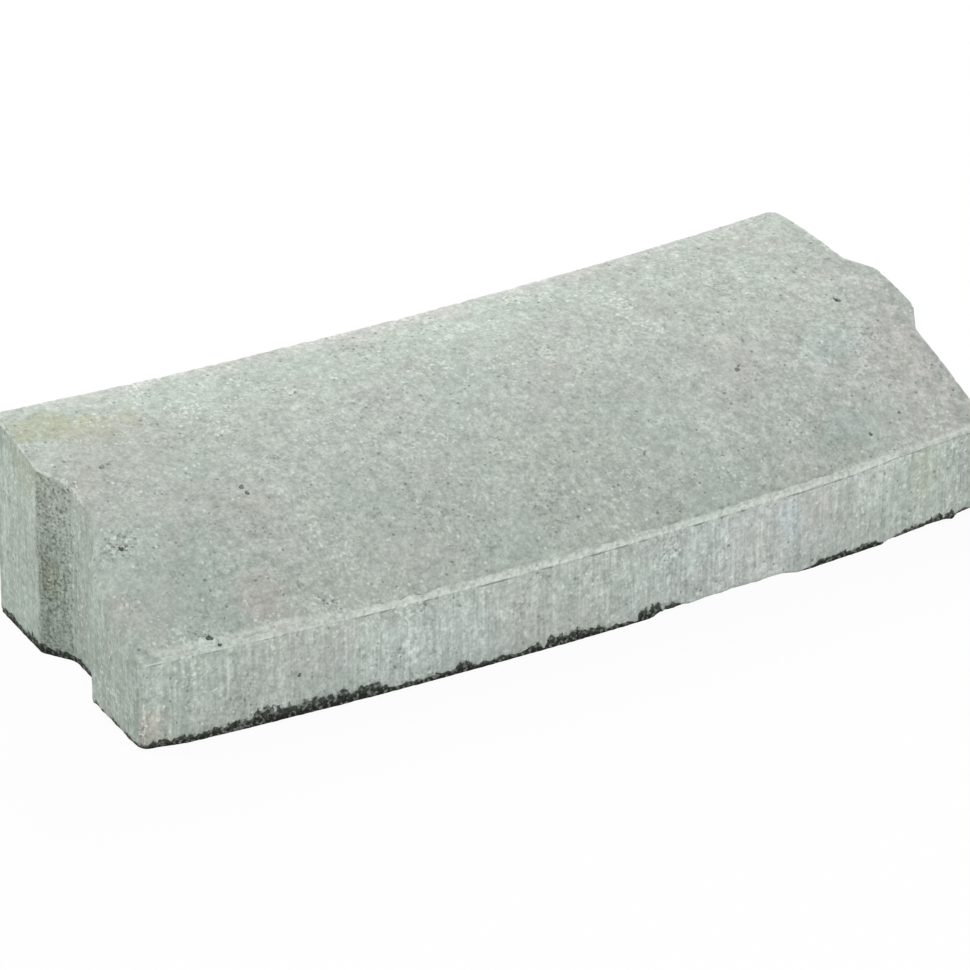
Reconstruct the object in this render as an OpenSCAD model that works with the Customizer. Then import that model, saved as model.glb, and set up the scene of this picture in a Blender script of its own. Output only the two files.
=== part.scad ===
// Curved kerb stone: one pressed concrete block for the outside of a round bend.
// It has a low upright front, a crowned top that rises to the back, and radial ends
// with a hollow at one end and a matching tongue at the other.

/* [Plan] */
// Radius of the curved front face, which sets the bend that the kerb follows
front_radius = 4000; // [2500:50:12000]
// Length of the front face, measured along its curve
front_length = 780; // [400:10:1000]
// Width of the stone, from its front face to its back face
width = 270; // [200:5:320]
// Radius of the four upright corners
corner_r = 10; // [4:1:16]

/* [Section] */
// Height of the upright front face
face_h = 73; // [50:1:110]
// Height of the back edge
back_h = 168; // [150:1:210]
// Radius of the crowned top, seen in section
crown_r = 470; // [300:10:900]
// Width of the rounded bead on the front arris
bead_w = 6; // [4:0.5:8]
// How far the middle of the bead stands above the front face
bead_rise = 1; // [0.5:0.1:1.5]

/* [End joint] */
// Width of the hollow where it opens in the end face
hollow_mouth = 98; // [80:1:120]
// Width of the hollow at its floor
hollow_floor = 48; // [30:1:56]
// Depth of the hollow
hollow_depth = 18; // [12:0.5:24]
// Radius that rounds the mouth and the floor of the hollow
joint_round = 12; // [6:0.5:16]
// Gap left all round between a tongue and the hollow it enters
joint_gap = 2; // [0.5:0.1:4]

/* [Hidden] */
$fn = 240;

half_angle = front_length / front_radius / 2 * 180 / PI;
back_radius = front_radius - width;

// The tongue is the hollow's outline drawn in by the gap
flank_angle = atan2(hollow_depth, (hollow_mouth - hollow_floor) / 2);
tongue_depth = hollow_depth - joint_gap;
tongue_floor = hollow_floor - 2 * joint_gap * tan(flank_angle / 2);
tongue_mouth = tongue_floor + 2 * tongue_depth / tan(flank_angle);

// Length along a straight side that a joint's rounding takes from its corner
round_inset = joint_round * tan(flank_angle / 2);

// Centre of the crown's arc, which passes through the front arris and the back edge
crown_chord = [width, back_h - face_h];
crown_sag = sqrt(crown_r ^ 2 - (norm(crown_chord) / 2) ^ 2);
crown_centre = [width / 2, (face_h + back_h) / 2]
    + crown_sag * [crown_chord.y, -crown_chord.x] / norm(crown_chord);

// Length by which a cutting shape runs past what it cuts
past = 40;

// An arc is drawn this much over its radius, so that it crosses the sides it runs into
arc_lap = 0.01;

// Each end has its own plan: the end plane lies on x = 0 with the stone behind it, and y
// runs from the front corner, left sharp, to the back. These are its upright arcs' centres.
front_corner = [-corner_r, front_radius - sqrt((front_radius - corner_r) ^ 2 - corner_r ^ 2)];
back_corner = [-corner_r, front_radius - sqrt((back_radius + corner_r) ^ 2 - corner_r ^ 2)];
bend_centre = [0, front_radius];

// Place of an end's plan about the middle of the front face, for the end along +X
end_origin = [front_radius * sin(half_angle), front_radius * (1 - cos(half_angle))];

function in_place(p) = end_origin
    + [p.x * cos(half_angle) - p.y * sin(half_angle), p.x * sin(half_angle) + p.y * cos(half_angle)];

// Limits of the stone about the middle of its front face, which centre it on its base
nose_corner = [tongue_depth - joint_round, (width - tongue_floor) / 2 + round_inset];
corner_reach = in_place(front_corner).x + corner_r;
tongue_reach = in_place(nose_corner).x + joint_round;
shift_x = (corner_reach - max(corner_reach, tongue_reach)) / 2;
shift_y = -(in_place(back_corner).y + corner_r) / 2;

// Section across the stone, with the front face on the vertical axis
module section() {
    intersection() {
        square([width, 2 * back_h]);
        translate(crown_centre) circle(r = crown_r);
    }
    square([bead_w, face_h + bead_rise]);
    translate([bead_w / 2, face_h + bead_rise]) circle(d = bead_w);
}

// The section carried round the bend, longer than the stone at both ends
module long_blank() {
    swing = half_angle + past / back_radius * 180 / PI;
    translate([0, front_radius, 0])
        rotate([0, 0, -90 - swing])
            rotate_extrude(angle = 2 * swing)
                translate([front_radius, 0]) mirror([1, 0]) section();
}

// Plan of the joint, standing out from the end plane at the middle of the stone's width
module joint_plan(mouth, floor_w, depth) {
    flank = [depth, (floor_w - mouth) / 2] / norm([depth, (floor_w - mouth) / 2]);
    root = [0, mouth / 2 + round_inset];
    nose = [depth, floor_w / 2 - round_inset];
    half = [
        root - [past, 0],
        root,
        [0, mouth / 2] + round_inset * flank,
        [depth, floor_w / 2] - round_inset * flank,
        nose
    ];
    translate([0, width / 2]) {
        difference() {
            polygon([
                for (p = half) p,
                for (i = [len(half) - 1 : -1 : 0]) [half[i].x, -half[i].y]
            ]);
            for (side = [-1, 1])
                translate([joint_round, side * root.y]) circle(r = joint_round + arc_lap);
        }
        for (side = [-1, 1])
            translate([depth - joint_round, side * nose.y]) circle(r = joint_round + arc_lap);
    }
}

// Patch that covers one upright corner, from its arc's centre outwards
module corner_patch(centre, to_face) {
    reach = 1.6 * corner_r;
    to_end = [1, 0];
    polygon([
        centre,
        centre + reach * to_end,
        centre + reach * (to_end + to_face),
        centre + reach * to_face
    ]);
}

// Plan of what an end loses: all that lies past the end plane, and the upright corners
module end_waste() {
    from_bend_f = front_corner - bend_centre;
    from_bend_b = back_corner - bend_centre;
    difference() {
        union() {
            translate([0, -past]) square([2 * past, width + 2 * past]);
            corner_patch(front_corner, from_bend_f / norm(from_bend_f));
            corner_patch(back_corner, -from_bend_b / norm(from_bend_b));
        }
        translate(front_corner) circle(r = corner_r + arc_lap);
        translate(back_corner) circle(r = corner_r + arc_lap);
    }
}

// Waste of the end that keeps the tongue
module tongue_end_waste() {
    difference() {
        end_waste();
        joint_plan(tongue_mouth, tongue_floor, tongue_depth);
    }
}

// Waste of the end that takes the hollow
module hollow_end_waste() {
    end_waste();
    mirror([1, 0]) joint_plan(hollow_mouth, hollow_floor, hollow_depth);
}

module kerb_stone() {
    color([0.66, 0.69, 0.66])
        translate([shift_x, shift_y, 0])
            difference() {
                long_blank();
                translate([0, 0, -past]) linear_extrude(2 * back_h) {
                    translate(end_origin) rotate(half_angle) tongue_end_waste();
                    mirror([1, 0]) translate(end_origin) rotate(half_angle) hollow_end_waste();
                }
            }
}

kerb_stone();
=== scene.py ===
# Curved kerb stone: one block of dry-pressed concrete, with the skin and wear that its mould left.
import math
import random

import bmesh
import bpy
import numpy as np
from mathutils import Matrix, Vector, noise


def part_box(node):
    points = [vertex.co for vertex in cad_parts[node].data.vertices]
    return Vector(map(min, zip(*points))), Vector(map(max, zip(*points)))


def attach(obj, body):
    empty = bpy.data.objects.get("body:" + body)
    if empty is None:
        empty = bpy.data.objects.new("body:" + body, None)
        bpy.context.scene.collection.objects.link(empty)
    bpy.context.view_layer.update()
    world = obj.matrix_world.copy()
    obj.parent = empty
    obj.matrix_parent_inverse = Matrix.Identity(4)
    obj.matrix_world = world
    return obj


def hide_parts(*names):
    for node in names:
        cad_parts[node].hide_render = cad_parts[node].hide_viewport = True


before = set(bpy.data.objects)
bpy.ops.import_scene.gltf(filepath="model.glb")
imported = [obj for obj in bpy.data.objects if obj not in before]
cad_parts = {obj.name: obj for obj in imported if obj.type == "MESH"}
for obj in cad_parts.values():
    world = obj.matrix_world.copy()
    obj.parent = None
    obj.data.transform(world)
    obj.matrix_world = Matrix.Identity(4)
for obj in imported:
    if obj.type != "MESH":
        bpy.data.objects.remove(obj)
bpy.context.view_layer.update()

scene = bpy.context.scene
stoneLow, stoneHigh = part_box("kerb_stone")
tiny = 1e-6  # keeps a divisor off zero, and tells the ground from what stands over it
noEdge = 1.0  # distance from the upper edge that is noted for points that have no such edge

# All lengths are in metres. The block's form is the one that the frame holds.
block = {
    "bendRadius": 4.0,
    "frontLength": 0.78,
    "width": 0.27,
    "cornerRadius": 0.010,
    "faceHeight": 0.073,
    "backHeight": stoneHigh.z,
    "crownRadius": 0.47,
    "beadWidth": 0.006,
    "beadRise": 0.001,
    # the hollow's mouth is crisper than its floor
    "hollow": {
        "mouth": 0.098,
        "floor": 0.048,
        "depth": 0.018,
        "mouthRound": 0.004,
        "floorRound": 0.020,
    },
    "tongueRound": 0.012,
    "jointGap": 0.002,
    # radius of the upper arrises, where the hollow end's front half is the softest
    "hollowArris": 0.0034,
    "softArris": 0.0105,
    "softStarts": (0.006, 0.020),  # distances from the front over which it grows soft
    "softEnds": (0.118, 0.140),
    "tongueArris": 0.0014,
    "backArris": 0.0013,
    "backTurn": 0.9,  # an edge that faces away from the ends by more than this is the back's
    "unevenArris": 0.35,  # share by which the radius comes and goes
    "unevenSize": 0.030,
    "arrisMeetsBead": (0.004, 0.012),  # how far from the front it starts, and the length it grows over
    # spacing of the mesh, which is closer at every edge
    "columnStep": 0.0021,
    "rowStep": 0.0022,
    "firstRow": 0.00015,
    "beadStep": 0.0007,
    "beadRows": 0.0085,  # the close rows at the front end here
    "nearSide": [0, 0.0007, 0.0016, 0.0028],
    "nearBack": [0.0030, 0.0016, 0.0007, 0],
    "nearTop": [0.0008, 0.0017, 0.0028, 0.0040, 0.0050, 0.0060, 0.0072, 0.0088],
    "nearGround": [0, 0.0007, 0.0016, 0.0027, 0.004, 0.0055, 0.0072, 0.009, 0.011, 0.0135],
    "layersBetween": 21,
    "underStep": 6,
    "insideBox": 0.00006,  # the least that every side loses, which keeps it inside the frame's box
}

halfAngle = block["frontLength"] / block["bendRadius"] / 2
# the front corner's arc reaches furthest at the hollow end, which places the block in the frame's box
cornerReach = (block["bendRadius"] - block["cornerRadius"]) * math.sin(halfAngle)
cornerReach += block["cornerRadius"] * (1 - math.cos(halfAngle))
blockShift = stoneLow.x + cornerReach


def tongueSizes():
    # the tongue is the hollow's outline drawn in by the gap
    hollow, gap = block["hollow"], block["jointGap"]
    slope = math.atan2(hollow["depth"], (hollow["mouth"] - hollow["floor"]) / 2)
    depth = hollow["depth"] - gap
    floor = hollow["floor"] - 2 * gap * math.tan(slope / 2)
    mouth = floor + 2 * depth / math.tan(slope)
    both = block["tongueRound"]
    return {"mouth": mouth, "floor": floor, "depth": depth, "mouthRound": both, "floorRound": both}


def jointDepth(across, joint):
    # how far the joint's outline lies from the end plane, at each distance from the front
    floorRound, mouthRound = joint["floorRound"], joint["mouthRound"]
    u = np.abs(across - block["width"] / 2)
    slope = math.atan2(joint["depth"], (joint["mouth"] - joint["floor"]) / 2)
    floorArc = joint["floor"] / 2 - floorRound * math.tan(slope / 2)
    mouthArc = joint["mouth"] / 2 + mouthRound * math.tan(slope / 2)
    out = np.where(u < floorArc, joint["depth"], (joint["mouth"] / 2 - u) * math.tan(slope))
    onFloorArc = (u >= floorArc) & (u < floorArc + floorRound * math.sin(slope))
    arcHeight = np.sqrt(np.maximum(floorRound**2 - (u - floorArc) ** 2, 0))
    nearFloor = joint["depth"] - floorRound + arcHeight
    out = np.where(onFloorArc, nearFloor, out)
    onMouthArc = u > mouthArc - mouthRound * math.sin(slope)
    fromArc = np.minimum(mouthArc - u, mouthRound)
    nearMouth = mouthRound - np.sqrt(np.maximum(mouthRound**2 - fromArc**2, 0))
    out = np.where(onMouthArc, nearMouth, out)
    return np.where(u > mouthArc, 0.0, out)


def endReach(across, joint, sign):
    # outline of an end: the joint, and the round upright corners at the front and the back
    r = block["cornerRadius"]
    fromSide = np.minimum(across, block["width"] - across)
    corner = -r + np.sqrt(np.maximum(r**2 - np.maximum(r - fromSide, 0) ** 2, 0))
    return sign * jointDepth(across, joint) + corner


def topHeight(across):
    # the crown, with the bead standing over it along the front
    rise = block["backHeight"] - block["faceHeight"]
    chord = math.hypot(block["width"], rise)
    sag = math.sqrt(block["crownRadius"] ** 2 - (chord / 2) ** 2)
    middle = block["width"] / 2 + sag * rise / chord
    level = (block["backHeight"] + block["faceHeight"]) / 2 - sag * block["width"] / chord
    crown = level + np.sqrt(block["crownRadius"] ** 2 - (across - middle) ** 2)
    r = block["beadWidth"] / 2
    bead = block["faceHeight"] + block["beadRise"] + np.sqrt(np.maximum(r**2 - (across - r) ** 2, 0))
    return np.where(across < block["beadWidth"], np.maximum(bead, crown), crown)


def blockGrid():
    # rows run from the front to the back, columns from the hollow end to the tongue end
    bead = np.arange(0, block["beadRows"], block["beadStep"])
    rowCount = round((block["width"] - bead[-1]) / block["rowStep"])
    body = np.linspace(bead[-1], block["width"] - block["nearBack"][0], rowCount)[1:-1]
    back = block["width"] - np.array(block["nearBack"])
    across = np.concatenate([[0, block["firstRow"]], bead[1:], body, back])
    near = np.array(block["nearSide"]) / block["frontLength"]
    middle = np.linspace(near[-1], 1 - near[-1], round(block["frontLength"] / block["columnStep"]))
    along = np.concatenate([near[:-1], middle, 1 - near[-2::-1]])
    radius = block["bendRadius"] - across
    angleLeft = -halfAngle - endReach(across, block["hollow"], -1) / radius
    angleRight = halfAngle + endReach(across, tongueSizes(), 1) / radius
    angle = angleLeft[:, None] + (angleRight - angleLeft)[:, None] * along[None, :]
    x = radius[:, None] * np.sin(angle) + blockShift
    y = block["bendRadius"] - radius[:, None] * np.cos(angle) + stoneLow.y
    return across, x, y


def outlineOf(rows, columns):
    # the grid's border, once round: front, tongue end, back, hollow end
    border = [(0, j) for j in range(columns)]
    border += [(i, columns - 1) for i in range(1, rows)]
    border += [(rows - 1, j) for j in range(columns - 2, -1, -1)]
    border += [(i, 0) for i in range(rows - 2, 0, -1)]
    return border


def roundArris(x, y, z, border, across):
    # turns the sharp upper edge of the ends and the back into a round one; the front keeps its bead
    bi, bj = np.array(border).T
    bx, by = x[bi, bj], y[bi, bj]
    tangent = np.stack([np.roll(bx, -1) - np.roll(bx, 1), np.roll(by, -1) - np.roll(by, 1)], axis=1)
    tangent /= np.linalg.norm(tangent, axis=1)[:, None]
    outward = np.stack([tangent[:, 1], -tangent[:, 0]], axis=1)
    rows, columns = x.shape
    atBack = np.abs(outward[:, 1]) > block["backTurn"]
    fromFront = across[bi]
    softness = smooth(fromFront, *block["softStarts"]) * (1 - smooth(fromFront, *block["softEnds"]))
    atHollow = block["hollowArris"] + (block["softArris"] - block["hollowArris"]) * softness
    radius = np.where(outward[:, 0] > 0, block["tongueArris"], atHollow)
    radius = np.where(atBack, block["backArris"], radius)
    spots = np.stack([bx, by, np.zeros(len(bx))], axis=1)
    uneven = fractal(spots, block["unevenSize"], 3, shift=9.0)
    radius = radius * (1 + block["unevenArris"] * uneven)
    start, growth = block["arrisMeetsBead"]
    radius *= np.clip((fromFront - start) / growth, 0, 1)

    # each point of the top turns about the nearest point of the border
    number = {ij: n for n, ij in enumerate(border)}
    left = np.array([[number[i, 0]] * columns for i in range(rows)])
    right = np.array([[number[i, columns - 1]] * columns for i in range(rows)])
    back = np.array([[number[rows - 1, j] for j in range(columns)]] * rows)
    toEdge = np.full(x.shape, noEdge)
    nearest = np.zeros(x.shape, int)
    for side in (left, right, back):
        gap = (bx[side] - x) * outward[side, 0] + (by[side] - y) * outward[side, 1]
        closer = gap < toEdge
        toEdge = np.where(closer, np.maximum(gap, 0), toEdge)
        nearest = np.where(closer, side, nearest)
    r = np.maximum(radius[nearest], tiny)
    turn = math.pi / 4 * (1 + np.minimum(toEdge / r, 1))
    sideways = np.where(toEdge < r, toEdge - r * (1 - np.cos(turn)), 0)
    drop = np.where(toEdge < r, r * (1 - np.sin(turn)), 0)
    topMoved = np.stack(
        [x + sideways * outward[nearest, 0], y + sideways * outward[nearest, 1], z - drop], axis=-1
    )
    return topMoved, toEdge, outward, radius


def wallPoints(x, y, z, border, outward, radius):
    # layers of points from the arris down to the ground
    bi, bj = np.array(border).T
    tops = z[bi, bj]
    levels = [tops - step for step in block["nearTop"]]
    between = block["layersBetween"]
    lowest = block["nearGround"][-1]
    for k in range(1, between + 1):
        share = k / (between + 1)
        levels.append((tops - block["nearTop"][-1]) * (1 - share) + lowest * share)
    levels += [np.full(len(border), height) for height in reversed(block["nearGround"])]
    layers = []
    r = np.maximum(radius, tiny)
    for level in levels:
        fall = tops - level
        turn = math.pi / 4 * (1 - np.minimum(fall / r, 1))
        inArris = fall < r
        sideways = np.where(inArris, r * (np.cos(turn) - 1), 0)
        up = np.where(inArris, fall - r + r * np.sin(turn), 0)
        wallX = x[bi, bj] + sideways * outward[:, 0]
        wallY = y[bi, bj] + sideways * outward[:, 1]
        layers.append(np.stack([wallX, wallY, level + up], axis=1))
    return layers, np.concatenate([tops - level for level in levels])


def undersideFaces(rows, columns, number, lowLayer, firstInner):
    # a wider grid, whose outer faces take in every point of the lowest layer and stay wide
    step = block["underStep"]
    pickRows = list(range(0, rows - step, step)) + [rows - 1]
    pickColumns = list(range(0, columns - step, step)) + [columns - 1]
    inner = [(i, j) for i in pickRows for j in pickColumns if (i, j) not in number]
    innerNumber = {ij: firstInner + n for n, ij in enumerate(inner)}

    def edgeRun(a, b):
        # points from a to b, without b; on the border it follows the lowest layer
        onBorder = a in number and b in number
        if onBorder and a[0] == b[0] and a[0] in (0, rows - 1):
            way = 1 if b[1] > a[1] else -1
            return [lowLayer(number[a[0], j]) for j in range(a[1], b[1], way)]
        if onBorder and a[1] == b[1] and a[1] in (0, columns - 1):
            way = 1 if b[0] > a[0] else -1
            return [lowLayer(number[i, a[1]]) for i in range(a[0], b[0], way)]
        return [lowLayer(number[a]) if a in number else innerNumber[a]]

    faces = []
    for i0, i1 in zip(pickRows[:-1], pickRows[1:]):
        for j0, j1 in zip(pickColumns[:-1], pickColumns[1:]):
            ring = edgeRun((i0, j0), (i1, j0)) + edgeRun((i1, j0), (i1, j1))
            ring += edgeRun((i1, j1), (i0, j1)) + edgeRun((i0, j1), (i0, j0))
            faces.append(tuple(ring))
    return faces, inner


def fractal(points, size, octaves, shift):
    # cloudy noise with patches of about this size; each use has a shift of its own
    offset = Vector((shift, 2.7 * shift, -1.3 * shift))
    return np.array([noise.fractal(Vector(p) / size + offset, 1.0, 2.0, octaves) for p in points])


def smooth(value, low, high):
    # 0 up to low, 1 from high on, and a soft step between them
    t = np.clip((value - low) / (high - low), 0, 1)
    return t * t * (3 - 2 * t)


def writeAttributes(mesh, values):
    for name, column in values.items():
        if name in mesh.attributes:
            mesh.attributes.remove(mesh.attributes[name])
        layer = mesh.attributes.new(name, "FLOAT", "POINT")
        layer.data.foreach_set("value", column.astype(np.float32))


def readAttributes(mesh, names):
    out = {}
    for name in names:
        column = np.empty(len(mesh.vertices), np.float32)
        mesh.attributes[name].data.foreach_get("value", column)
        out[name] = column.astype(float)
    return out


def readVectors(rows, kind):
    out = np.empty(3 * len(rows), np.float32)
    rows.foreach_get(kind, out)
    return out.reshape(-1, 3).astype(float)


def buildBlock():
    across, x, y = blockGrid()
    rows, columns = x.shape
    border = outlineOf(rows, columns)
    number = {ij: n for n, ij in enumerate(border)}
    z = np.broadcast_to(topHeight(across)[:, None], x.shape)
    topMoved, toEdge, outward, radius = roundArris(x, y, z, border, across)
    layers, fall = wallPoints(x, y, z, border, outward, radius)
    topCount, ringCount, layerCount = rows * columns, len(border), len(layers)

    def onWall(layer, n):
        i, j = border[n % ringCount]
        return i * columns + j if layer == 0 else topCount + (layer - 1) * ringCount + n % ringCount

    faces = []
    for i in range(rows - 1):
        for j in range(columns - 1):
            n = i * columns + j
            faces.append((n, n + 1, n + columns + 1, n + columns))
    for k in range(layerCount):
        for n in range(ringCount):
            faces.append((onWall(k, n), onWall(k + 1, n), onWall(k + 1, n + 1), onWall(k, n + 1)))
    firstInner = topCount + layerCount * ringCount

    def onGround(n):
        return onWall(layerCount, n)

    underFaces, inner = undersideFaces(rows, columns, number, onGround, firstInner)
    faces += underFaces
    innerPoints = np.array([(x[i, j], y[i, j], 0.0) for i, j in inner])
    points = np.concatenate([topMoved.reshape(-1, 3)] + layers + [innerPoints])

    mesh = bpy.data.meshes.new("kerbStone")
    mesh.from_pydata(points.tolist(), [], faces)
    mesh.validate()
    mesh.update()
    # how far round the block each point of the sides lies, and how far below or inside the arris
    bi, bj = np.array(border).T
    girthStep = np.hypot(np.diff(x[bi, bj]), np.diff(y[bi, bj]))
    ringGirth = np.concatenate([[0], np.cumsum(girthStep)])
    girth = np.zeros(len(points))
    girth[topCount:firstInner] = np.tile(ringGirth, layerCount)
    for (i, j), n in number.items():
        girth[i * columns + j] = ringGirth[n]
    edgeGap = np.full(len(points), noEdge)
    edgeGap[:topCount] = toEdge.ravel()
    edgeGap[topCount:firstInner] = fall
    counting = np.arange(len(points))
    onTop, inside = counting < topCount, counting >= firstInner
    writeAttributes(mesh, {"top": onTop, "inner": inside, "girth": girth, "edgeGap": edgeGap})
    piece = bpy.data.objects.new("kerb_stone_concrete", mesh)
    scene.collection.objects.link(piece)
    return piece


stone = buildBlock()
print("block built:", len(stone.data.vertices), "points")


# Wear. Every change of shape goes inwards, so the block keeps its outside size. A place on the
# block is given by its side and two lengths: along the bend from the middle and back from the
# front on the top, along and up on the front and the back, back and up on the hollow end.
wear = {
    "seed": 41,
    # where the sides part; the front and the hollow end stop short of their corners
    "frontDepth": 0.009,
    "frontCorner": 0.002,
    "frontFaces": (0.85, 0.985),  # how squarely the front's face looks forward
    "hollowEndUpTo": -0.3,
    "backCorner": 0.006,
    "skin": [(0.070, 0.00040, 2), (0.019, 0.00026, 3), (0.006, 0.00020, 2)],  # size, depth, octaves
    "skinSwing": 0.9,
    "skinMost": 1.4,  # the deepest places, as shares of that depth
    "streakWidth": 0.0035,
    "streakLength": 0.070,
    "streakDepth": 0.00013,
    "streakMost": 1.5,
    # the bead's pale band, partly a painted highlight, reaches down the face in the middle of the
    # block, and over the top at the ends;
    # the face stands back below it, and a groove in painted shade follows its lower side in places
    "beadFoot": 0.0028,
    "beadFootShares": (0.45, 0.55),  # what there is of it at the hollow end, and what it gains
    "beadFootGrows": (-0.26, -0.16),  # places along the block
    "beadFootEnds": (0.24, 0.31),
    "beadReach": (0.005, 0.014, 0.009),  # in the middle, at the hollow end, at the tongue end
    "beadStarts": (-0.385, -0.365),
    "beadEndHalf": 0.26,  # this far from the middle its band is as wide as at the ends
    "beadBlur": 0.0006,
    "underBead": 0.0006,
    "underBeadSlope": 0.0012,
    "grooveDepth": 0.0009,
    "grooveStart": 0.0004,
    "grooveFloor": 0.001,
    "grooveHeight": 0.0024,
    "grooveSize": 0.016,
    "grooveShows": (-0.20, 0.30),  # by the noise that breaks it up
    "grooveWhole": (0.26, 0.30),  # it runs unbroken from here to the tongue end
    "beadTop": 0.0055,
    "beadLoss": 0.0012,
    "fraySize": 0.011,
    "frayEases": (-0.25, 0.05),  # it frays most up to here, and least from there on
    "frayLevels": (0.25, 0.35),  # the most, and what it loses
    "frayShows": (0.05, 0.5),
    "beadRough": 0.0005,
    "beadRoughMost": 1.5,
    "beadRoughSize": 0.005,
    # pits: side, place, radius, darkness of their painted shade
    "pits": [
        ("top", 0.347, 0.139, 0.0021, 0.9), ("top", 0.214, 0.104, 0.0019, 0.8),
        ("top", 0.218, 0.107, 0.0012, 0.7), ("top", 0.292, 0.053, 0.0014, 0.6),
        ("top", 0.286, 0.022, 0.0015, 0.8), ("top", 0.322, 0.030, 0.0013, 0.7),
        ("top", 0.370, 0.035, 0.0016, 0.6), ("top", -0.242, 0.119, 0.0020, 0.8),
        ("top", -0.241, 0.112, 0.0017, 0.8), ("top", -0.061, 0.172, 0.0014, 0.5),
        ("top", -0.338, 0.170, 0.0022, 0.6), ("top", -0.331, 0.172, 0.0016, 0.5),
        ("top", -0.360, 0.089, 0.0020, 0.9), ("top", -0.355, 0.091, 0.0015, 0.8),
        ("top", -0.325, 0.009, 0.0021, 1.0), ("top", -0.3188, 0.0036, 0.0019, 1.0),
        ("front", -0.254, 0.034, 0.0015, 0.9), ("front", -0.298, 0.045, 0.0013, 0.6),
        ("front", 0.130, 0.043, 0.0013, 0.7),
    ],
    "pitLobes": (1.0, 0.7, 0.6),  # a pit is a main hollow with two smaller ones at its sides
    "pitAside": 0.8,
    "pitRim": 0.8,
    "smallPits": 26,
    "smallPitsFrom": (0.006, 0.018),  # how far they keep from the arris and from the ground
    "smallPitRadius": (0.0008, 0.0014),
    "smallPitDarkness": (0.15, 0.55),
    "pitShare": 0.45,  # depth of a pit as a share of its radius
    "refineReach": 0.0022,
    # chips: side, place, radius of the scoop, depth
    "chips": [
        ("top", -0.114, 0.269, 0.007, 0.0010), ("top", -0.237, 0.269, 0.006, 0.0008),
        ("top", 0.135, 0.268, 0.005, 0.0008), ("top", -0.368, 0.078, 0.006, 0.0010),
        ("top", -0.364, 0.100, 0.005, 0.0009), ("top", -0.372, 0.112, 0.005, 0.0008),
    ],
    "smallChips": 45,
    "smallChipBite": (0.0004, 0.0011),  # the least, and what the deepest has over it
    "smallChipRadius": (0.003, 0.007),
    # broken stretches of the lower front edge: middle along the block, half length, height
    "brokenFront": [
        (-0.368, 0.028, 0.0094), (-0.318, 0.030, 0.0076), (-0.303, 0.014, 0.0126),
        (-0.275, 0.019, 0.0174), (-0.245, 0.022, 0.0142), (-0.218, 0.022, 0.0136),
        (-0.192, 0.013, 0.0156), (-0.165, 0.022, 0.0056), (-0.132, 0.020, 0.0060),
        (-0.113, 0.007, 0.0095), (-0.098, 0.014, 0.0058), (-0.068, 0.018, 0.0050),
        (-0.051, 0.009, 0.0092), (-0.026, 0.013, 0.0122), (-0.004, 0.018, 0.0104),
        (0.022, 0.020, 0.0054), (0.057, 0.011, 0.0142), (0.080, 0.010, 0.0096),
        (0.250, 0.034, 0.0066), (0.330, 0.034, 0.0098), (0.366, 0.014, 0.0098),
    ],
    "brokenRest": 0.0020,
    "soundFront": (0.148, 0.056),  # a stretch that is whole: middle, half length
    # the shares of its half length over which a stretch fades out
    "bandFades": (0.8, 1.2),
    "soundFades": (0.92, 1.08),
    "rubbedFades": (0.80, 1.05),
    # the same along the foot of the hollow end, by the distance from the front
    "brokenEnd": [
        (0.036, 0.052, 0.0096), (0.155, 0.030, 0.0078),
        (0.192, 0.012, 0.0120), (0.238, 0.042, 0.0082),
    ],
    "brokenEndRest": 0.0006,
    "brokenElsewhere": 0.0030,
    "leastBroken": 0.0003,  # where the band would be lower, nothing is broken
    "brokenDepth": 0.0013,
    "brokenSteep": 3.0,  # how soon the break gets deep below its upper rim
    "brokenProfile": (0.35, 0.65),  # its depth's share at the rim, and what the foot adds
    "jagSize": 0.014,
    "jagShare": 0.35,
    "teethSize": 0.0036,
    "teethShare": 0.45,
    "jagStretch": 0.35,  # jags and teeth are taller than they are wide
    "brokenGrain": 0.004,
    "softFoot": 0.0013,  # the sound stretch is only rubbed round along its foot
    "softFootHeight": 0.0036,
    "lowHeight": 0.004,  # nothing below this moves down
    # the hollow end's front corner has lost its foot: what it lost along and across, and how high
    "cornerLoss": (0.0045, 0.0035),
    "cornerLossHeight": 0.0050,
    "cornerFadesAlong": (0.006, 0.030),
    "cornerFadesAcross": (0.086, 0.096),
    "cornerFadesRound": (0.012, 0.045),
    # stretches of the front that have lost their foot: middle, half length, height
    "lostFoot": [(0.130, 0.064, 0.0042), (0.322, 0.034, 0.0030), (0.380, 0.020, 0.0050)],
    "lostSlope": 1.7,  # depth of a lost foot as a share of its height
    "lostFades": (0.006, 0.036),
    "lostRagged": 0.3,
    # patches of pale flecks: side, place, radius
    "flecks": [
        ("top", -0.360, 0.092, 0.026), ("top", -0.372, 0.160, 0.014),
        ("front", -0.385, 0.018, 0.014), ("top", -0.330, 0.012, 0.018),
        ("top", -0.150, 0.205, 0.016), ("top", 0.090, 0.060, 0.014),
        ("front", 0.075, 0.052, 0.018), ("front", -0.145, 0.0715, 0.012),
        ("front", -0.048, 0.0715, 0.012), ("front", 0.016, 0.0715, 0.009),
        ("front", 0.140, 0.0715, 0.012), ("top", 0.228, 0.046, 0.014),
        ("top", 0.150, 0.040, 0.007), ("top", -0.225, 0.012, 0.024),
    ],
    "fleckCore": 0.3,  # share of a patch's radius where it is full
    "flankFades": (-0.001, 0.003),  # the coarse flank and its painted shade fade out from and to here past its edges
    # where the concrete's masks fade: the grit in the broken foot, and the pale upper arris by its
    # distance from the edge and from the front
    "gritInFoot": 0.15,
    "paleArris": (0.0005, 0.004),
    "paleArrisFrom": (0.128, 0.142),
}


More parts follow.
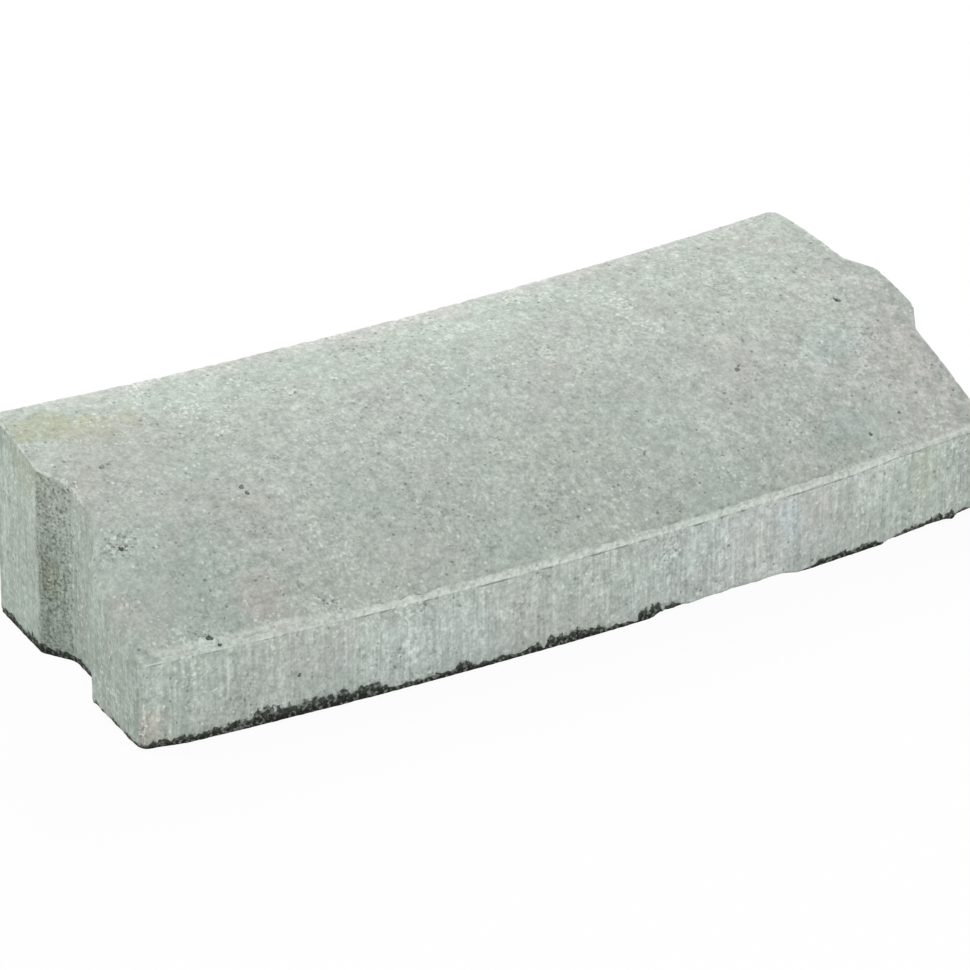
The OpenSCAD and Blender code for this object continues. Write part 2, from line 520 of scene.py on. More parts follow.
def placeOn(side, first, second):
    # a point on the unworn block's top or front, from its two lengths
    angle = first / block["bendRadius"]
    if side == "top":
        back, height = second, float(topHeight(np.array(second)))
    else:
        back, height = 0.0, second
    radius = block["bendRadius"] - back
    x = radius * math.sin(angle) + blockShift
    y = block["bendRadius"] - radius * math.cos(angle) + stoneLow.y
    return np.array([x, y, height])


def findPits(mesh, rng):
    # the named pits, and small ones strewn over the faces
    pits = [(placeOn(*row[:3]), row[3], row[4]) for row in wear["pits"]]
    points = readVectors(mesh.vertices, "co")
    gap = readAttributes(mesh, ["edgeGap"])["edgeGap"]
    fromArris, fromGround = wear["smallPitsFrom"]
    inFaces = np.flatnonzero((gap > fromArris) & (gap < noEdge) & (points[:, 2] > fromGround))
    for _ in range(wear["smallPits"]):
        spot = points[rng.choice(inFaces)]
        radius = rng.uniform(*wear["smallPitRadius"])
        pits.append((spot, radius, rng.uniform(*wear["smallPitDarkness"])))
    return pits


def refineAround(mesh, pits):
    # a finer mesh where a pit will be, so that it comes out round
    work = bmesh.new()
    work.from_mesh(mesh)
    centres = np.array([face.calc_center_median() for face in work.faces])
    chosen = np.zeros(len(centres), bool)
    for spot, radius, _ in pits:
        chosen |= np.linalg.norm(centres - spot, axis=1) < radius + wear["refineReach"]
    work.faces.ensure_lookup_table()
    edges = {edge for n in np.flatnonzero(chosen) for edge in work.faces[n].edges}
    ordered = sorted(edges, key=lambda edge: edge.index)
    bmesh.ops.subdivide_edges(work, edges=ordered, cuts=2, use_grid_fill=True)
    work.to_mesh(mesh)
    work.free()
    mesh.update()


def scoop(points, centre, normal, radius, depth):
    # a ball that dips into the surface takes away what it meets
    ball = centre + normal * (radius - depth)
    away = points - ball
    distance = np.linalg.norm(away, axis=1)
    inside = (distance < radius) & (distance > 0)
    points[inside] = ball + away[inside] * (radius / distance[inside])[:, None]
    return inside


def outside(place, middle, half, fades):
    # 0 in a stretch and 1 outside it, with a soft step between two shares of its half length
    start, end = fades
    return smooth(np.abs(place - middle), start * half, end * half)


def bandHeight(place, stretches, rest):
    # height of a band that rises over each stretch and has the rest's height between them
    height = np.full(len(place), rest)
    for middle, half, rise in stretches:
        height = np.maximum(height, rise * (1 - outside(place, middle, half, wear["bandFades"])))
    return height


def lowerEdge(along, across, onFront, onHollowEnd):
    # height of the broken band along the foot of the block
    front = bandHeight(along, wear["brokenFront"], wear["brokenRest"])
    front *= outside(along, *wear["soundFront"], wear["soundFades"])
    end = bandHeight(across, wear["brokenEnd"], wear["brokenEndRest"])
    return np.where(onFront, front, np.where(onHollowEnd, end, wear["brokenElsewhere"]))


def surveyBlock(mesh):
    # where each point lies: along the bend, back from the front, up, and on which side
    points = readVectors(mesh.vertices, "co")
    normal = readVectors(mesh.vertex_normals, "vector")
    flags = readAttributes(mesh, ["top", "inner", "girth", "edgeGap"])
    x, y = points[:, 0] - blockShift, points[:, 1] - stoneLow.y
    along = np.arctan2(x, block["bendRadius"] - y) * block["bendRadius"]
    across = block["bendRadius"] - np.hypot(x, block["bendRadius"] - y)
    # a point that refining put between the top and a side counts as the side's
    onTop, inside = flags["top"] > 0.99, flags["inner"] > 0.5
    onSide = ~onTop & ~inside
    frontHalf = block["frontLength"] / 2 - wear["frontCorner"]
    onFront = onSide & (across < wear["frontDepth"]) & (np.abs(along) < frontHalf)
    onEnd = onSide & ~onFront & (along < wear["hollowEndUpTo"])
    return {
        "points": points,
        "normal": normal,
        "height": points[:, 2],
        "along": along,
        "across": across,
        "top": onTop,
        "inner": inside,
        "side": onSide,
        "front": onFront,
        "facing": np.where(onFront, smooth(-normal[:, 1], *wear["frontFaces"]), 0),
        "hollowEnd": onEnd & (across < block["width"] - wear["backCorner"]),
        "girth": flags["girth"],
        "edgeGap": flags["edgeGap"],
    }


def bumps(noise, most):
    # noise lifted to a middle height of a half, from 0 up to the most
    return np.clip(0.5 + noise, 0, most)


def roughenSkin(depth, at):
    # every face is a little rough
    for size, amount, octaves in wear["skin"]:
        relief = wear["skinSwing"] * fractal(at["points"], size, octaves, shift=size * 100)
        depth += amount * bumps(relief, wear["skinMost"])
    # vertical streaks that the lifted mould dragged down the sides
    girth, height = at["girth"] / wear["streakWidth"], at["height"] / wear["streakLength"]
    streak = fractal(np.stack([girth, height, np.zeros(len(girth))], axis=1), 1.0, 3, shift=5.0)
    depth += np.where(at["side"], wear["streakDepth"] * bumps(streak, wear["streakMost"]), 0)


def wearBead(depth, at):
    # the bead: fuzzy towards the hollow end, with a broken groove along its lower side
    points, along, facing = at["points"], at["along"], at["facing"]
    flatPoints = points * np.array([1, 1, 0])
    fray = fractal(flatPoints, wear["fraySize"], 3, shift=3.0)
    most, eased = wear["frayLevels"]
    frayed = fray + (most - eased * smooth(along, *wear["frayEases"]))
    onBead = at["top"] & (at["across"] < wear["beadTop"])
    depth += np.where(onBead, wear["beadLoss"] * smooth(frayed, *wear["frayShows"]), 0)
    rough = fractal(points, wear["beadRoughSize"], 2, shift=4.0)
    depth += np.where(onBead, wear["beadRough"] * bumps(rough, wear["beadRoughMost"]), 0)
    least, gained = wear["beadFootShares"]
    beadFoot = wear["beadFoot"] * (least + gained * smooth(along, *wear["beadFootGrows"]))
    beadFoot *= 1 - smooth(along, *wear["beadFootEnds"])
    underBead = block["faceHeight"] - beadFoot - at["height"]
    depth += wear["underBead"] * smooth(underBead, 0.0, wear["underBeadSlope"]) * facing
    gaps = fractal(flatPoints, wear["grooveSize"], 3, shift=6.0)
    grooved = smooth(gaps, *wear["grooveShows"])
    grooved = np.maximum(grooved, smooth(along, *wear["grooveWhole"]))
    inGroove = smooth(underBead, -wear["grooveStart"], wear["grooveStart"])
    inGroove = inGroove * (1 - smooth(underBead, wear["grooveFloor"], wear["grooveHeight"]))
    shadedGroove = inGroove * grooved * facing
    depth += wear["grooveDepth"] * shadedGroove
    return beadFoot, shadedGroove


def breakFoot(depth, at):
    # the ragged lower edge, and the sound stretch that is only rubbed round
    tall = at["points"] * np.array([1, 1, wear["jagStretch"]])
    jag = fractal(tall, wear["jagSize"], 2, shift=7.0)
    teeth = fractal(tall, wear["teethSize"], 2, shift=11.0)
    height = lowerEdge(at["along"], at["across"], at["front"], at["hollowEnd"])
    height = height * (1 + wear["jagShare"] * jag + wear["teethShare"] * teeth)
    brokenAndShaded = np.clip(1 - at["height"] / np.maximum(height, tiny), 0, 1)
    brokenAndShaded = np.where(at["side"], brokenAndShaded * (height > wear["leastBroken"]), 0)
    rough = 1 + 0.5 * fractal(at["points"], wear["brokenGrain"], 2, shift=8.0)
    rim, foot = wear["brokenProfile"]
    steep = np.minimum(brokenAndShaded * wear["brokenSteep"], 1)
    depth += wear["brokenDepth"] * steep * (rim + foot * brokenAndShaded) * rough
    sound = 1 - outside(at["along"], *wear["soundFront"], wear["rubbedFades"])
    sound = sound * at["facing"]
    depth += wear["softFoot"] * sound * np.clip(1 - at["height"] / wear["softFootHeight"], 0, 1) ** 2
    return brokenAndShaded, jag


def wayOut(at):
    # the way that the wear goes against: the underside stays flat, and nothing sinks into the ground
    out = at["normal"].copy()
    low = at["height"] < wear["lowHeight"]
    out[low, 2] = np.minimum(out[low, 2], 0)
    out[at["height"] < tiny, 2] = 0
    out[at["inner"]] = 0
    return out


def loseFoot(moved, at, jag):
    # the hollow end's front corner and some stretches of the front have no foot left
    across, height = at["across"], at["height"]
    fromEnd = at["along"] + block["frontLength"] / 2
    ragged = 1 + wear["lostRagged"] * jag
    lost = np.clip(1 - height / wear["cornerLossHeight"] * ragged, 0, 1)
    lostAlong = 1 - smooth(fromEnd, *wear["cornerFadesAlong"])
    lostAlong = lostAlong * (1 - smooth(across, *wear["cornerFadesAcross"]))
    lostAcross = 1 - smooth(np.hypot(fromEnd, across), *wear["cornerFadesRound"])
    moved[:, 0] += wear["cornerLoss"][0] * lost * lostAlong
    moved[:, 1] += wear["cornerLoss"][1] * lost * lostAcross
    lostHeight = np.maximum(bandHeight(at["along"], wear["lostFoot"], 0.0) * ragged, tiny)
    lostDepth = wear["lostSlope"] * np.maximum(lostHeight - height, 0)
    lostDepth = lostDepth * (1 - smooth(across, *wear["lostFades"]))
    moved[:, 1] += np.where(at["top"], 0, lostDepth)


def nearestPoint(points, spot):
    return int(np.argmin(np.linalg.norm(points - spot, axis=1)))


def knockChips(moved, at, rng):
    # the named chips, and small ones strewn along the arris
    for side, first, second, radius, bite in wear["chips"]:
        n = nearestPoint(at["points"], placeOn(side, first, second))
        scoop(moved, moved[n].copy(), at["normal"][n], radius, bite)
    arris = np.flatnonzero((at["edgeGap"] < tiny) & at["top"])
    least, over = wear["smallChipBite"]
    for _ in range(wear["smallChips"]):
        n = rng.choice(arris)
        bite = least + over * rng.random() ** 3
        scoop(moved, moved[n].copy(), at["normal"][n], rng.uniform(*wear["smallChipRadius"]), bite)


def sinkPits(moved, at, pits, rng):
    # sinks the pits, and returns how dark each point in them is painted, a painted shade
    points = at["points"]
    dark = np.zeros(len(points))
    for spot, radius, darkness in pits:
        for share in wear["pitLobes"]:
            aside = Vector((rng.uniform(-1, 1), rng.uniform(-1, 1), rng.uniform(-1, 1)))
            aside = aside * radius * wear["pitAside"]
            n = nearestPoint(points, spot + (1 - share) * 2 * np.array(aside))
            pitDepth = radius * share * wear["pitShare"]
            ball = ((radius * share) ** 2 + pitDepth**2) / (2 * pitDepth)
            inside = scoop(moved, moved[n].copy(), at["normal"][n], ball, pitDepth)
            near = np.linalg.norm(points - points[n], axis=1) < wear["pitRim"] * radius * share
            dark[inside | near] = darkness
    return dark


def fleckedPlaces(points):
    # 1 at the middle of a patch of flecks, and 0 outside them all
    flecked = np.zeros(len(points))
    for side, first, second, radius in wear["flecks"]:
        away = np.linalg.norm(points - placeOn(side, first, second), axis=1)
        flecked = np.maximum(flecked, 1 - smooth(away, wear["fleckCore"] * radius, radius))
    return flecked


def paleBeadAndHighlight(at, beadFoot):
    # the pale band along the bead, pale fines with a painted highlight; "over" is above 0 on the top
    # and below 0 on the face
    over = np.where(at["top"], at["across"], at["height"] - block["faceHeight"])
    nearEnds = np.clip(np.abs(at["along"]) / wear["beadEndHalf"], 0, 1) ** 2
    middleReach, hollowReach, tongueReach = wear["beadReach"]
    endReaches = np.where(at["along"] < 0, hollowReach, tongueReach)
    reach = middleReach + (endReaches - middleReach) * nearEnds
    band = smooth(over + beadFoot, -wear["beadBlur"], wear["beadBlur"])
    band = band * (1 - smooth(over, 0.5 * reach * nearEnds, reach))
    return band * np.where(at["top"], smooth(at["along"], *wear["beadStarts"]), at["facing"])


def hollowFlank(at):
    # the flank of the hollow that looks towards the front has a coarser skin, and is painted darker as
    # shade
    joint = block["hollow"]
    middle = block["width"] / 2 + (joint["mouth"] + joint["floor"]) / 4
    half = (joint["mouth"] - joint["floor"]) / 4
    start, end = wear["flankFades"]
    return at["hollowEnd"] * (1 - smooth(np.abs(at["across"] - middle), half + start, half + end))


def wearBlock(piece):
    # wears the mesh, and returns where its points lay and a mask for each kind of wear and of painted
    # light and shade
    rng = random.Random(wear["seed"])
    mesh = piece.data
    pits = findPits(mesh, rng)
    refineAround(mesh, pits)
    at = surveyBlock(mesh)
    points = at["points"]
    depth = np.full(len(points), block["insideBox"])
    roughenSkin(depth, at)
    beadFoot, at["shadedGroove"] = wearBead(depth, at)
    at["brokenAndShaded"], jag = breakFoot(depth, at)
    moved = points - wayOut(at) * np.maximum(depth, block["insideBox"])[:, None]
    loseFoot(moved, at, jag)
    knockChips(moved, at, rng)
    at["pitShade"] = sinkPits(moved, at, pits, rng)
    mesh.vertices.foreach_set("co", moved.astype(np.float32).ravel())
    mesh.update()
    under = np.array([all(points[n, 2] < tiny for n in face.vertices) for face in mesh.polygons])
    mesh.polygons.foreach_set("use_smooth", ~under)
    print("wear done: deepest", round(1000 * float(depth.max()), 1), "mm")
    at["bead"] = paleBeadAndHighlight(at, beadFoot)
    at["foot"] = smooth(at["brokenAndShaded"], 0.0, wear["gritInFoot"])
    at["fleck"] = fleckedPlaces(points)
    at["flank"] = hollowFlank(at)
    paleArris = 1 - smooth(at["edgeGap"], *wear["paleArris"])
    at["arris"] = paleArris * smooth(at["across"], *wear["paleArrisFrom"])
    return at


worn = wearBlock(stone)
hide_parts("kerb_stone")
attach(stone, "root")


def toLinear(code):
    # the sRGB curve
    channels = [int(code[i : i + 2], 16) / 255 for i in (1, 3, 5)]
    return [c / 12.92 if c <= 0.04045 else ((c + 0.055) / 1.055) ** 2.4 for c in channels] + [1.0]


def addNode(tree, kind, inputs=None, give=None, **settings):
    # a shader node with its settings; an input takes a number, a hex colour or another node's output
    node = tree.nodes.new("ShaderNode" + kind)
    for name, value in settings.items():
        setattr(node, name, value)
    for name, value in (inputs or {}).items():
        if isinstance(name, int):
            socket = node.inputs[name]
        else:
            socket = next(s for s in node.inputs if s.name == name and s.enabled)
        if isinstance(value, bpy.types.NodeSocket):
            tree.links.new(value, socket)
        else:
            socket.default_value = toLinear(value) if isinstance(value, str) else value
    outputs = [s for s in node.outputs if s.enabled and give in (None, s.name)]
    return outputs[0] if outputs else node


def emptyTree(owner):
    # the node tree of a material or a world, without the nodes that it starts with
    owner.use_nodes = True
    owner.node_tree.nodes.clear()
    return owner.node_tree


concrete = {
    "paste": "#b5bdb5",
    "roughness": 0.92,
    "specular": 0.3,
    "bump": 0.0006,
    "bumpStrength": 0.6,
    "noiseSpan": (0.3, 0.7),  # most of a tone's noise lies between these
    "noiseRoughness": 0.6,
    # tones: side to side size, size down the face, detail, contrast, share of the bump;
    # the sand is drawn a little coarser than real sand, so that it shows
    "speckle": [
        (0.0056, 1.0, 0.16, 0.6),
        (0.0023, 1.0, 0.15, 0.4),
        (0.0130, 2.0, 0.11, 0.0),
        (0.110, 3.0, 0.05, 0.0),
    ],
    "streaks": [(0.0021, 0.040, 0.11, 0.3), (0.0060, 0.070, 0.14, 0.3)],
    # single grains: colour, spacing, radius, share of the places that hold one, strength, lift
    "grains": [
        ("#e4e9e1", 0.0052, 0.0010, 0.18, 0.74, 0.4),
        ("#5b615a", 0.0047, 0.0009, 0.16, 0.62, -0.6),
    ],
    "grainShift": 0.37,  # keeps the kinds of grain off each other's places
    "leastGrain": 0.4,  # the smallest grain's share of its radius
    "grainBlur": (1.5, 0.7),  # shares of its radius where a grain has faded out, and where it is full
    "dragWidth": 0.0034,  # single drag marks down the sides
    "dragLength": 0.060,
    "patchSize": 0.045,
    # coats: colour, size of the pattern that frays it, mask, the mask's weight, where the sum of
    # pattern and mask starts the coat and where it is full, strength
    "coats": [
        ("#bdb4b0", 0.0600, None, 0.0, 0.50, 0.75, 0.25),  # pinkish sand
        ("#aabcb2", 0.0750, None, 0.0, 0.50, 0.75, 0.25),  # greenish paste
        ("#e9eee6", 0.0032, "patch", 0.6, 0.95, 1.06, 0.60),  # pale grit, in loose patches
        ("#747a72", 0.0030, "patch", -0.6, 0.36, 0.44, 0.45),  # dark grit between them
        ("#dfe6dd", 0.0060, "drag", 1.0, 1.12, 1.28, 0.45),  # pale drag marks
        ("#8a9189", 0.0060, "score", 1.0, 1.12, 1.28, 0.50),  # dark ones
        ("#e6ebe4", 0.0036, "fleck", 0.30, 0.82, 0.92, 0.70),  # small pale spalls
        ("#626860", 0.0030, "fleck", 0.30, 0.84, 0.95, 0.70),  # their shaded sides
        ("#d6dcd3", 0.0026, "flank", 0.30, 0.80, 0.98, 0.62),  # the flank's coarser skin, pale grains; the dark coat on the next line also paints its shade
        ("#444a42", 0.0028, "flank", 0.30, 0.79, 0.97, 0.66),
        ("#dbe2d9", 0.0060, "arris", 0.5, 0.80, 1.05, 0.80),  # worn upper arrises
        ("#e6ece4", 0.0036, "bead", 0.6, 0.85, 1.30, 0.78),  # the bead's pale fines, with a painted highlight along the bead
        ("#6b7169", 0.0060, "shadedGroove", 0.6, 0.80, 1.10, 0.70),  # painted shade in the groove below the bead
        # painted shade in the pits
        ("#3e443c", 0.0020, "pitShade", 0.8, 0.80, 1.30, 0.90),
        ("#2f332d", 0.0034, "brokenAndShaded", 1.3, 0.80, 0.98, 0.95),  # broken foot, damp and dark, darkened further as painted shade of the gap under it
        ("#10130f", 0.0030, "brokenAndShaded", 0.8, 0.90, 1.12, 0.90),  # its deepest parts, painted black as shade
        ("#8f958c", 0.0032, "foot", 0.30, 0.81, 0.94, 0.70),  # grit that stands out of it
    ],
}


# the kinds of wear, and the painted light and shade, that the concrete shows
shownWearAndShade = ("side", "bead", "shadedGroove", "brokenAndShaded", "foot", "pitShade", "fleck", "flank", "arris", "girth")


def mixTones(tree, place, unrolled, side, colour):
    # tones lighten and darken the paste, and raise its skin a little
    tones = []
    for size, detail, contrast, share in concrete["speckle"]:
        tones.append((place, (size, size, size), detail, contrast, share, 1.0))
    for width, length, contrast, share in concrete["streaks"]:
        tones.append((unrolled, (width, length, 1.0), 2.0, contrast, share, side))
    relief = 0.0
    low, high = concrete["noiseSpan"]
    for seed, (way, size, detail, contrast, share, where) in enumerate(tones):
        inputs = {0: way, 1: [1 / length for length in size]}
        stretched = addNode(tree, "VectorMath", inputs, operation="MULTIPLY")
        inputs = {"Vector": stretched, "Scale": 1.0, "Detail": detail, "W": float(seed)}
        inputs["Roughness"] = concrete["noiseRoughness"]
        cells = addNode(tree, "TexNoise", inputs, noise_dimensions="4D")
        inputs = {"Value": cells, "From Min": low, "From Max": high}
        inputs.update({"To Min": 1 - contrast, "To Max": 1 + contrast})
        tone = addNode(tree, "MapRange", inputs, clamp=False)
        inputs = {"Factor": where, "A": colour, "B": tone}
        colour = addNode(tree, "Mix", inputs, data_type="RGBA", blend_type="MULTIPLY")
        relief = addNode(tree, "Math", {0: cells, 1: share, 2: relief}, operation="MULTIPLY_ADD")
    return colour, relief


def strewGrains(tree, place, colour, relief):
    # each place may hold one grain, and chance and size come from the place's own random colour
    faded, full = concrete["grainBlur"]
    for seed, (code, spacing, radius, share, strength, lift) in enumerate(concrete["grains"]):
        shift = [seed + concrete["grainShift"]] * 3
        shifted = addNode(tree, "VectorMath", {0: place, 1: shift}, operation="ADD")
        gap = addNode(tree, "TexVoronoi", {"Vector": shifted, "Scale": 1 / spacing}, give="Distance")
        drawn = gap.node.outputs["Color"]
        chance = addNode(tree, "SeparateColor", {"Color": drawn}, give="Red")
        there = addNode(tree, "Math", {0: chance, 1: share}, operation="LESS_THAN")
        size = addNode(tree, "SeparateColor", {"Color": drawn}, give="Blue")
        size = addNode(tree, "Math", {0: size, 1: concrete["leastGrain"]}, operation="ADD")
        gap = addNode(tree, "Math", {0: gap, 1: size}, operation="DIVIDE")
        rim = radius / spacing
        inputs = {"Value": gap, "From Min": faded * rim, "From Max": full * rim, "To Max": strength}
        grain = addNode(tree, "MapRange", inputs)
        amount = addNode(tree, "Math", {0: grain, 1: there}, operation="MULTIPLY")
        colour = addNode(tree, "Mix", {"Factor": amount, "A": colour, "B": code}, data_type="RGBA")
        relief = addNode(tree, "Math", {0: amount, 1: lift, 2: relief}, operation="MULTIPLY_ADD")
    return colour, relief


def layCoats(tree, place, masks, colour):
    # each coat shows where the sum of its pattern and its mask is high enough
    for seed, (code, size, mask, weight, start, full, strength) in enumerate(concrete["coats"]):
        inputs = {"Vector": place, "Scale": 1 / size, "Detail": 2.0, "W": 20.0 + seed}
        cells = addNode(tree, "TexNoise", inputs, noise_dimensions="4D")
        if mask:
            weighed = {0: masks[mask], 1: weight, 2: cells}
            cells = addNode(tree, "Math", weighed, operation="MULTIPLY_ADD")
        inputs = {"Value": cells, "From Min": start, "From Max": full, "To Max": strength}
        amount = addNode(tree, "MapRange", inputs)
        colour = addNode(tree, "Mix", {"Factor": amount, "A": colour, "B": code}, data_type="RGBA")
    return colour


def pressedConcrete():
    # Dry-pressed concrete: a matt grey paste with sand speckle, pale and dark grit in loose patches,
    # drag streaks down the sides, a pale worn bead with a painted highlight, painted shade in the
    # groove below it, in the pits and on the hollow's flank, and a black grainy foot where the edge
    # broke off, damp and darkened as painted shade.
    material = bpy.data.materials.new("dryPressedConcrete")
    tree = emptyTree(material)
    place = addNode(tree, "TexCoord", give="Object")
    masks = {}
    for name in shownWearAndShade:
        masks[name] = addNode(tree, "Attribute", give="Fac", attribute_name=name)
    inputs = {"Vector": place, "Scale": 1 / concrete["patchSize"], "Detail": 2.0}
    masks["patch"] = addNode(tree, "TexNoise", inputs)
    height = addNode(tree, "SeparateXYZ", {"Vector": place}, give="Z")
    unrolled = addNode(tree, "CombineXYZ", {"X": masks["girth"], "Y": height})
    for seed, name in enumerate(("drag", "score")):
        lengths = [1 / concrete["dragWidth"], 1 / concrete["dragLength"], 1.0]
        way = addNode(tree, "VectorMath", {0: unrolled, 1: lengths}, operation="MULTIPLY")
        inputs = {"Vector": way, "Scale": 1.0, "Detail": 1.0, "W": 50.0 + seed}
        marks = addNode(tree, "TexNoise", inputs, noise_dimensions="4D")
        masks[name] = addNode(tree, "Math", {0: marks, 1: masks["side"]}, operation="MULTIPLY")

    stainAndLight = addNode(tree, "Attribute", give="Color", attribute_name="stainAndLight")
    inputs = {"Factor": 1.0, "A": concrete["paste"], "B": stainAndLight}
    colour = addNode(tree, "Mix", inputs, data_type="RGBA", blend_type="MULTIPLY")
    colour, relief = mixTones(tree, place, unrolled, masks["side"], colour)
    colour, relief = strewGrains(tree, place, colour, relief)
    colour = layCoats(tree, place, masks, colour)
    inputs = {"Height": relief, "Strength": concrete["bumpStrength"], "Distance": concrete["bump"]}
    normal = addNode(tree, "Bump", inputs)
    inputs = {"Base Color": colour, "Roughness": concrete["roughness"], "Normal": normal}
    inputs["Specular IOR Level"] = concrete["specular"]
    shader = addNode(tree, "BsdfPrincipled", inputs)
    addNode(tree, "OutputMaterial", {"Surface": shader})
    return material


# stains on the paste, and painted light and shade, side by side: colour, place, half sizes, strength
stainsAndPaintedLight = {
    "marks": {
        "top": [
            # painted light: the front two thirds of the top are lighter
            ("#bec5be", 0.020, 0.110, 0.420, 0.110, 0.50),
            ("#c4ccc3", 0.292, 0.148, 0.090, 0.060, 0.58),
            ("#c6c7c2", -0.020, 0.270, 0.440, 0.020, 0.55),
            ("#bac4b8", -0.060, 0.232, 0.300, 0.026, 0.35),
            ("#a8bab1", -0.330, 0.055, 0.055, 0.060, 0.45),
            ("#a8b9b2", 0.308, 0.100, 0.034, 0.020, 0.45),
            ("#a8b9b2", 0.272, 0.030, 0.038, 0.016, 0.45),
            ("#bdb8b6", 0.375, 0.110, 0.024, 0.120, 0.25),
            ("#bcc6bc", 0.060, 0.085, 0.150, 0.040, 0.30),
            ("#cbcdc7", 0.335, 0.048, 0.080, 0.068, 0.58),
            ("#c0c8c1", 0.225, 0.075, 0.150, 0.065, 0.42),
            ("#adb4ac", 0.280, 0.246, 0.140, 0.022, 0.42),
            ("#aeb4ac", -0.290, 0.190, 0.110, 0.040, 0.45),
            ("#aab1a9", -0.235, 0.085, 0.070, 0.042, 0.12),
            ("#bcb3af", -0.272, 0.030, 0.022, 0.022, 0.40),
            ("#a8ad93", -0.362, 0.236, 0.040, 0.024, 0.68),
            ("#b5b69d", -0.322, 0.220, 0.046, 0.022, 0.45),
        ],
        "end": [
            ("#a7a98c", 0.208, 0.148, 0.036, 0.022, 0.28),
            # painted shade over the hollow's flank
            ("#8f968e", 0.181, 0.080, 0.010, 0.300, 0.50),
            ("#a0a37f", 0.176, 0.066, 0.008, 0.024, 0.45),
            ("#a4a58c", 0.092, 0.061, 0.008, 0.012, 0.40),
            ("#aab0a9", 0.135, 0.084, 0.026, 0.300, 0.50),
            ("#aab2aa", 0.160, 0.055, 0.120, 0.060, 0.45),
            ("#a6ada5", 0.226, 0.160, 0.054, 0.020, 0.60),
            # painted highlight on the round upright edge of the hollow's rear mouth
            ("#ccd4ca", 0.187, 0.085, 0.0035, 0.300, 0.60),
        ],
        "front": [
            ("#b8bdb9", 0.000, 0.036, 0.480, 0.090, 0.80),
            ("#c1c7c1", 0.240, 0.036, 0.140, 0.070, 0.50),
            ("#c6ccc6", 0.305, 0.068, 0.060, 0.012, 0.15),
            ("#c4cac4", 0.118, 0.044, 0.084, 0.070, 0.52),
            ("#b3a59a", -0.378, 0.018, 0.020, 0.018, 0.50),
            ("#c1cdc6", -0.140, 0.034, 0.070, 0.030, 0.60),
            ("#b7b0ae", -0.222, 0.045, 0.030, 0.024, 0.35),
            ("#aebfb4", 0.075, 0.040, 0.055, 0.020, 0.45),
            ("#b5c6c5", 0.191, 0.048, 0.014, 0.024, 0.60),
            ("#a6a88f", 0.325, 0.050, 0.016, 0.030, 0.45),
            ("#9da59d", 0.378, 0.045, 0.022, 0.044, 0.45),
        ],
        "back": [
            # painted shade: the whole back face is darker
            ("#a1a59f", 0.000, 0.080, 0.600, 0.300, 0.88),
        ],
    },
    "edgeNoise": 0.014,
    "edgeRagged": 0.45,
    "edgeFades": (0.4, 1.15),  # from and to these shares of a mark's half size
    "backBand": 0.012,
}


def paintStainsAndLight(piece, worn):
    # each mark tints the paste where it lies, with a ragged edge
    paste = np.array(toLinear(concrete["paste"])[:3])
    tint = np.ones((len(worn["points"]), 3))
    ragged = stainsAndPaintedLight["edgeRagged"] * fractal(worn["points"], stainsAndPaintedLight["edgeNoise"], 3, shift=12.0)
    atBack = worn["side"] & (worn["across"] > block["width"] - stainsAndPaintedLight["backBand"])
    sides = {
        "top": (~worn["side"], worn["along"], worn["across"]),
        "end": (worn["hollowEnd"], worn["across"], worn["height"]),
        "front": (worn["front"], worn["along"], worn["height"]),
        "back": (atBack, worn["along"], worn["height"]),
    }
    for side, (onSide, u, v) in sides.items():
        for code, first, second, halfFirst, halfSecond, strength in stainsAndPaintedLight["marks"][side]:
            away = np.hypot((u - first) / halfFirst, (v - second) / halfSecond)
            amount = strength * (1 - smooth(away + ragged, *stainsAndPaintedLight["edgeFades"])) * onSide
            tint *= 1 + amount[:, None] * (np.array(toLinear(code)[:3]) / paste - 1)
    colours = np.concatenate([tint, np.ones((len(tint), 1))], axis=1)
    layer = piece.data.attributes.new("stainAndLight", "FLOAT_COLOR", "POINT")
    layer.data.foreach_set("color", colours.astype(np.float32).ravel())


writeAttributes(stone.data, {name: worn[name] for name in shownWearAndShade})
paintStainsAndLight(stone, worn)
stone.data.materials.append(pressedConcrete())
print("concrete mixed")

# the camera looks at the front and the hollow end from a little above
view = {
    "target": Vector((0.0070, 0.0243, 0.0587)),
    "azimuth": math.radians(-32.11),
    "elevation": math.radians(26.155),
    "distance": 5.405,
    "lens": 255.1,
    "clipEnd": 100,
}


def directionOf(azimuth, elevation):
    # azimuth 0 is in front of the block, and turns towards its tongue end
    level = math.cos(elevation)
    return Vector((math.sin(azimuth) * level, -math.cos(azimuth) * level, math.sin(elevation)))


def setUp(thing, target, away, distance):
    # a camera or a lamp stands this far away from its target and looks at it
    thing.location = target + away * distance
    thing.rotation_mode = "QUATERNION"
    thing.rotation_quaternion = away.to_track_quat("Z", "Y")
    scene.collection.objects.link(thing)


def makeCamera():
    camera = bpy.data.objects.new("camera", bpy.data.cameras.new("camera"))
    camera.data.lens = view["lens"]
    camera.data.clip_end = view["clipEnd"]
    setUp(camera, view["target"], directionOf(view["azimuth"], view["elevation"]), view["distance"])
    scene.camera = camera


makeCamera()

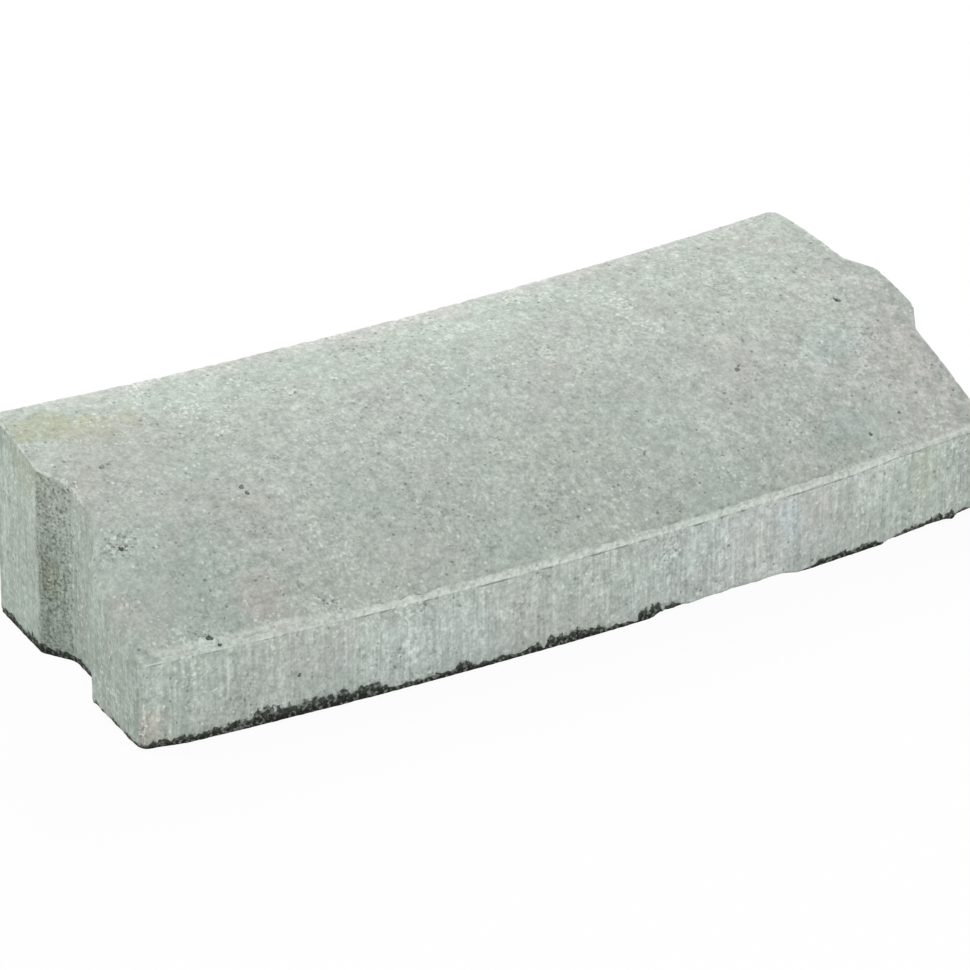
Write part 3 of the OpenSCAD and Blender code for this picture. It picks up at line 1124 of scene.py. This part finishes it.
# soft lamps: azimuth, elevation, distance, size, and the level that each gives a face square to it
studio = {
    "ambient": 0.12,
    "lamps": {
        "highBackLeft": (227, 46, 3.0, 1.6, 0.57),
        "lowBackRight": (148, 25, 3.0, 1.6, 1.12),
        "lowFront": (12, 25, 3.0, 2.2, 0.53),
        "frontLeft": (-50, 20, 3.0, 2.2, 0.16),
    },
    "floor": "#e4ebe6",
    "floorWhite": 0.95,
    "floorHalf": 8,
}


def makeLamps():
    for name, (azimuth, elevation, distance, size, level) in studio["lamps"].items():
        data = bpy.data.lights.new(name, "AREA")
        data.size = size
        data.energy = level * math.pi**2 * distance**2  # the power that gives a white face this level
        away = directionOf(math.radians(azimuth), math.radians(elevation))
        setUp(bpy.data.objects.new(name, data), Vector((0, 0, 0)), away, distance)


def seenDirectly(tree):
    # 1 for what the camera sees, also in a mirror or through glass
    seen = 0.0
    for ray in ("Is Camera Ray", "Is Glossy Ray", "Is Transmission Ray"):
        kind = addNode(tree, "LightPath", give=ray)
        seen = addNode(tree, "Math", {0: kind, 1: seen}, operation="MAXIMUM")
    return seen


def makeWorld():
    world = bpy.data.worlds.new("studio")
    scene.world = world
    tree = emptyTree(world)
    inputs = {"Value": seenDirectly(tree), "To Min": studio["ambient"], "To Max": 1.0}
    strength = addNode(tree, "MapRange", inputs)
    background = addNode(tree, "Background", {"Color": "#ffffff", "Strength": strength})
    addNode(tree, "OutputWorld", {"Surface": background})


def makeFloor():
    # a painted floor that looks white and still takes the block's soft shadow
    mesh = bpy.data.meshes.new("floor")
    half = studio["floorHalf"]
    corners = [(-half, -half, 0), (half, -half, 0), (half, half, 0), (-half, half, 0)]
    mesh.from_pydata(corners, [], [(0, 1, 2, 3)])
    floor = bpy.data.objects.new("floor", mesh)
    scene.collection.objects.link(floor)
    material = bpy.data.materials.new("paintedFloor")
    tree = emptyTree(material)
    paint = addNode(tree, "BsdfDiffuse", {"Color": studio["floor"]})
    glow = addNode(tree, "Emission", {"Color": "#ffffff", "Strength": 1.0})
    inputs = {0: seenDirectly(tree), 1: studio["floorWhite"]}
    share = addNode(tree, "Math", inputs, operation="MULTIPLY")
    mixed = addNode(tree, "MixShader", {0: share, 1: paint, 2: glow})
    addNode(tree, "OutputMaterial", {"Surface": mixed})
    mesh.materials.append(material)


makeLamps()
makeWorld()
makeFloor()
print("studio lit")

scene.view_settings.view_transform = "Standard"
